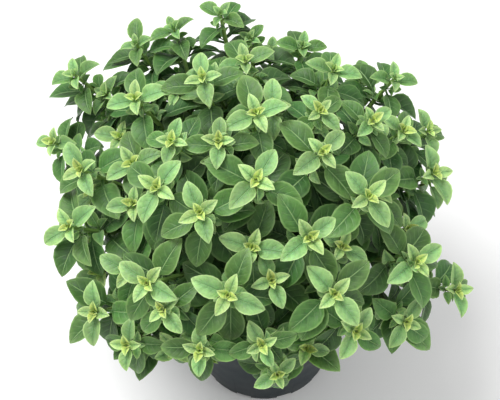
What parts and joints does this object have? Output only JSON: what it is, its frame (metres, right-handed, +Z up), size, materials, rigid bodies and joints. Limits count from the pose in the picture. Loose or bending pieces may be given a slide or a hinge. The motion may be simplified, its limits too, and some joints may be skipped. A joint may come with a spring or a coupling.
{
  "type": "potted bush basil",
  "caption": "Dense dome of forked square stems with small pointed oval leaves in crossed pairs, growing from compost in a tapered round plastic pot with drain holes.",
  "frame": {"origin": "middle of the pot's base, on the surface that the pot stands on", "axes": "+Z up along the pot's axis, +X to the right and -Y towards the viewer, so that the front shoots lean to -Y"},
  "size_m": [0.2372, 0.2273, 0.2277],
  "materials": {
    "pot_plastic": "dark slate-grey moulded plastic with a low satin sheen",
    "compost": "moist dark-brown compost of peat and bark fibre, rough and crumbly",
    "leaf": "living plant tissue: fresh-green leaf blades with a soft satin upper face and a paler rib, on square green stems"
  },
  "bodies": {
    "root": {"pot": "pot_plastic", "soil": "compost", "leafy_stem_01": "leaf", "leafy_stem_02": "leaf", "leafy_stem_03": "leaf", "leafy_stem_04": "leaf", "leafy_stem_05": "leaf", "leafy_stem_06": "leaf", "leafy_stem_07": "leaf", "leafy_stem_08": "leaf", "leafy_stem_09": "leaf", "leafy_stem_10": "leaf", "leafy_stem_11": "leaf", "leafy_stem_12": "leaf", "leafy_stem_13": "leaf", "leafy_stem_14": "leaf", "leafy_stem_15": "leaf", "leafy_stem_16": "leaf", "leafy_stem_17": "leaf", "leafy_stem_18": "leaf", "leafy_stem_19": "leaf", "leafy_stem_20": "leaf", "leafy_stem_21": "leaf", "leafy_stem_22": "leaf", "leafy_stem_23": "leaf", "leafy_stem_24": "leaf", "leafy_stem_25": "leaf", "leafy_stem_26": "leaf", "leafy_stem_27": "leaf", "leafy_stem_28": "leaf", "leafy_stem_29": "leaf", "leafy_stem_30": "leaf", "leafy_stem_31": "leaf", "leafy_stem_32": "leaf", "leafy_stem_33": "leaf", "leafy_stem_34": "leaf", "leafy_stem_35": "leaf", "leafy_stem_36": "leaf", "leafy_stem_37": "leaf"}
  },
  "joints": []
}
